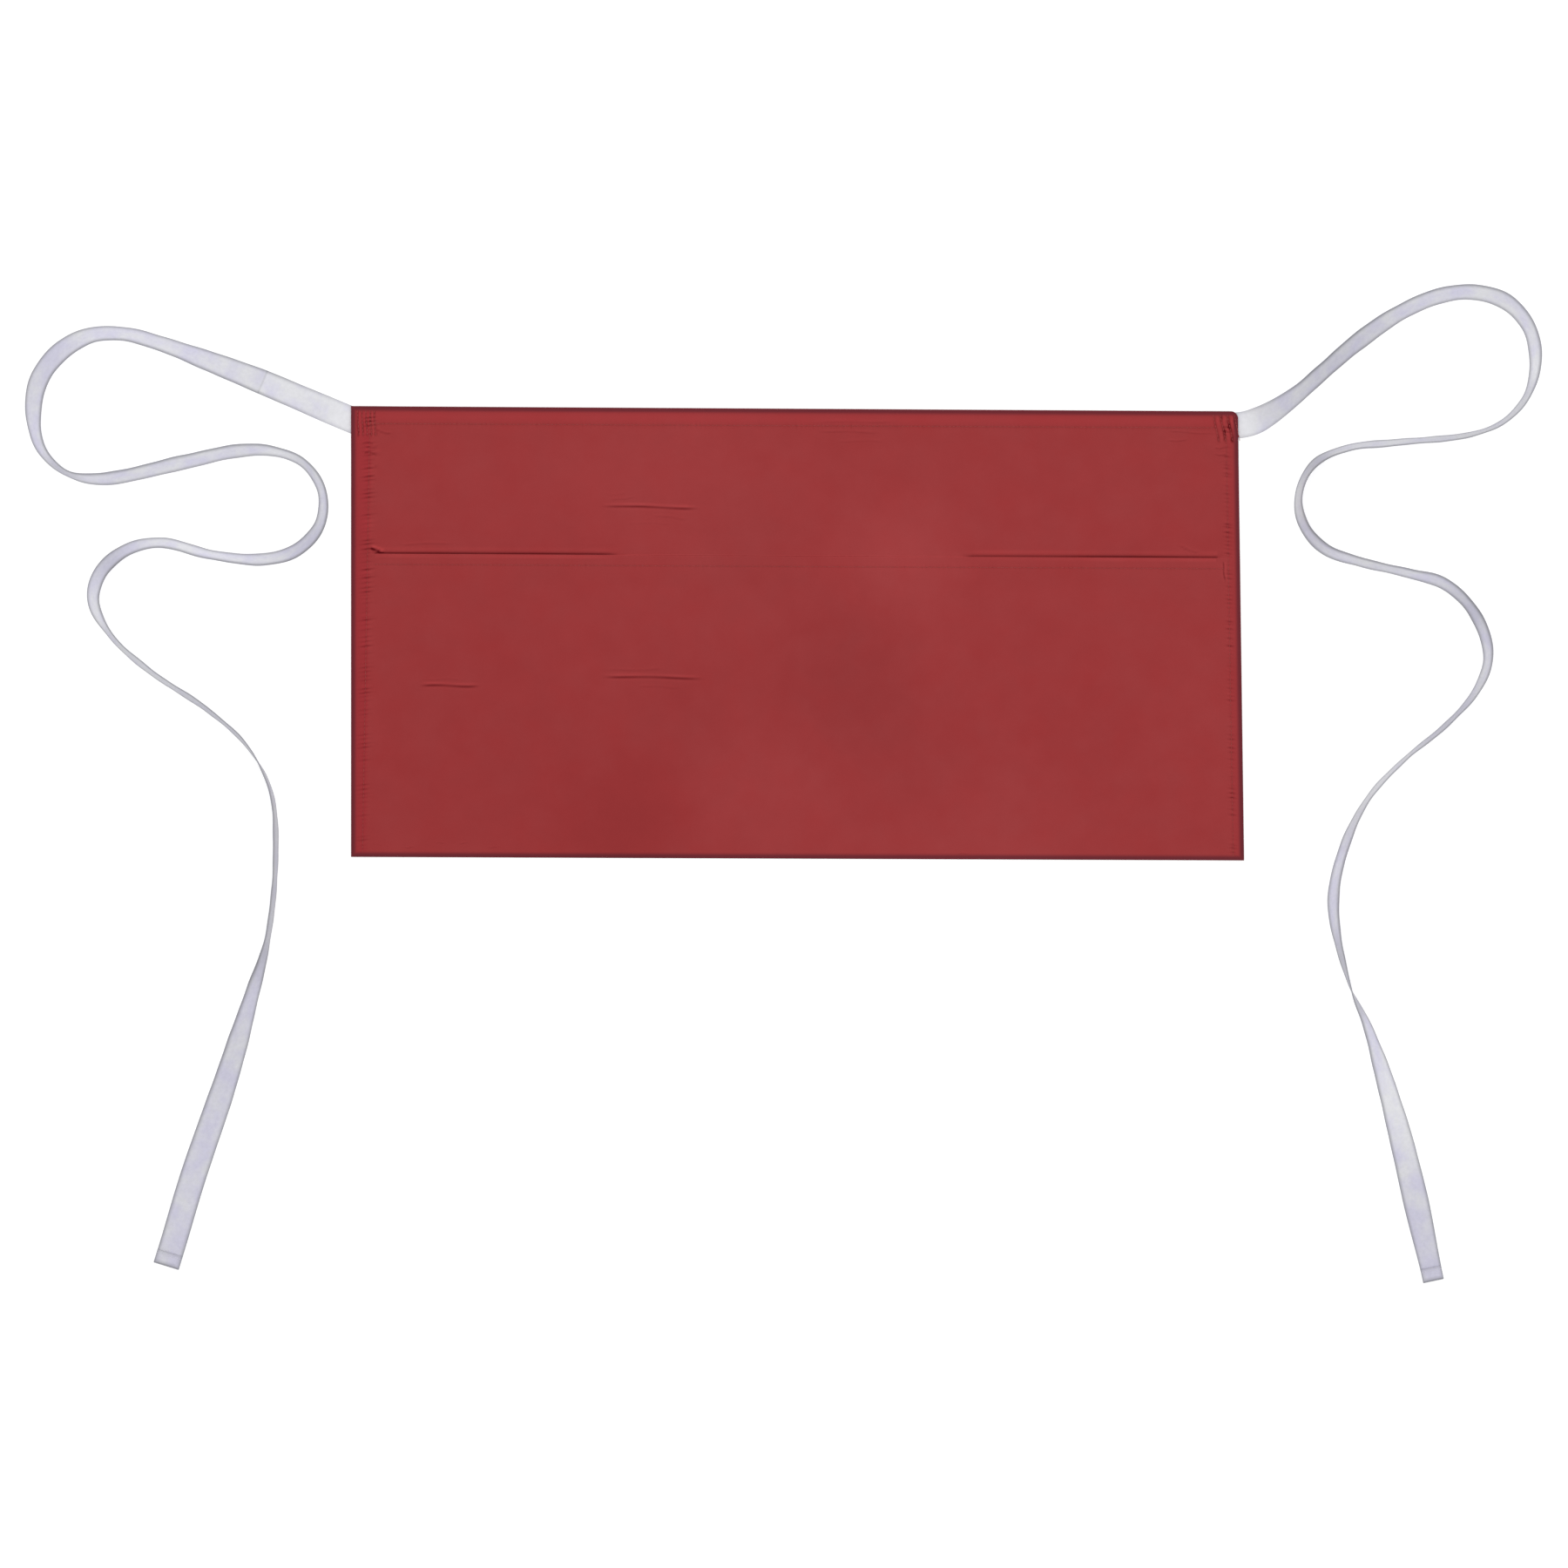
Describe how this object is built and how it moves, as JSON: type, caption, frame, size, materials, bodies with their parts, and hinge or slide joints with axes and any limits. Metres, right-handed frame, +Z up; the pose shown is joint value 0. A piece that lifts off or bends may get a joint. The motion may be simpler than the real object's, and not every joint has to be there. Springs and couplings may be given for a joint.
{
  "type": "waist apron",
  "caption": "Short flat waist apron of hemmed cloth, folded up at the bottom into one full-width pocket, with a tape tie at each top corner.",
  "frame": {"origin": "on the surface that the apron lies on, under the middle of the body's outline, the ties left out", "axes": "+X to the right along the waist edge as the apron is seen face up, +Y towards the waist edge, +Z up out of the cloth"},
  "size_m": [1.0379, 0.6857, 0.018],
  "materials": {
    "red_drill": "dull brick-red twill cloth, lightly creased",
    "white_tape": "matt white woven tape with thin selvedges"
  },
  "bodies": {
    "root": {"main_panel": "red_drill", "pocket_panel": "red_drill", "bottom_fold": "red_drill", "pocket_hem": "red_drill", "left_hem": "red_drill", "right_hem": "red_drill", "top_hem": "red_drill", "left_tie": "white_tape", "left_tie_hem": "white_tape", "right_tie": "white_tape", "right_tie_hem": "white_tape"}
  },
  "joints": []
}
